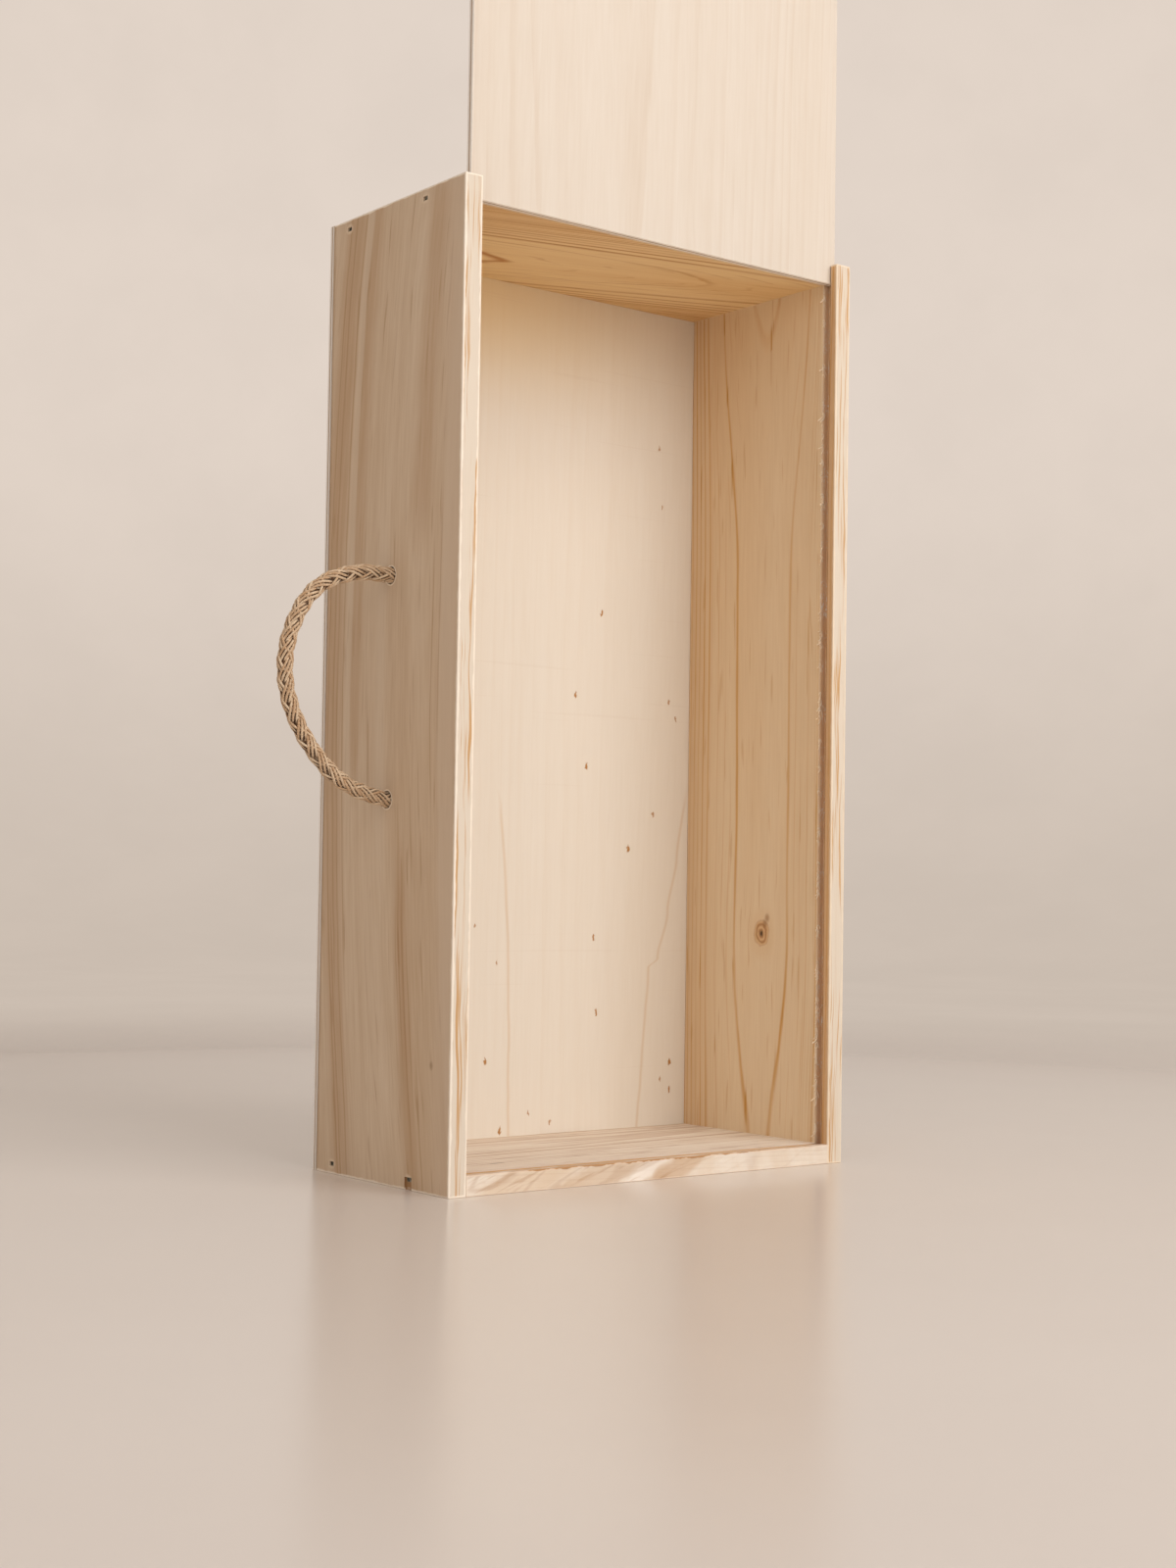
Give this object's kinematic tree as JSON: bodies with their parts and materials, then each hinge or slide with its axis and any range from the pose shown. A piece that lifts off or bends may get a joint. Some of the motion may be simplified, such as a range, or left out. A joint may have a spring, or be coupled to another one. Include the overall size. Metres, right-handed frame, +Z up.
{
  "type": "sliding lid box",
  "caption": "Upright pine box with a thin lid that slides in grooves along its open front, a nailed plywood back and a braided rope carrying handle on one long side.",
  "frame": {"origin": "on the surface that the box stands on, under the middle of the box without its rope", "axes": "+Z up along the box towards the entry end, -Y out of the opening, -X towards the rope handle"},
  "size_m": [0.2355, 0.091, 0.7078],
  "materials": {
    "pine": "planed, unfinished",
    "plywood": "sanded, unfinished",
    "lid_wood": "sanded, unfinished",
    "rope": "braided natural fibre",
    "nail_steel": "dull bright wire"
  },
  "bodies": {
    "box": {"handle_side": "pine", "plain_side": "pine", "entry_end": "pine", "stop_end": "pine", "back_panel": "plywood", "upper_rope_end": "rope", "lower_rope_end": "rope", "upper_knot": "rope", "lower_knot": "rope", "handle_side_entry_nails": "nail_steel", "handle_side_stop_nails": "nail_steel", "plain_side_entry_nails": "nail_steel", "plain_side_stop_nails": "nail_steel", "back_nails_handle_side": "nail_steel", "back_nails_plain_side": "nail_steel", "back_nails_entry_end": "nail_steel", "back_nails_stop_end": "nail_steel"},
    "lid": {"lid": "lid_wood"},
    "handle": {"rope_loop": "rope"}
  },
  "joints": [
    {"name": "lid_slide", "type": "slide", "parent": "box", "child": "lid", "axis": [0, 0, 1], "range_m": [-0.3478, 0.0125]},
    {"name": "handle_swing", "type": "hinge", "parent": "box", "child": "handle", "pos_m": [-0.0978, -0.0015, 0.18], "axis": [0, 0, 1], "range_deg": [-70, 70]}
  ]
}
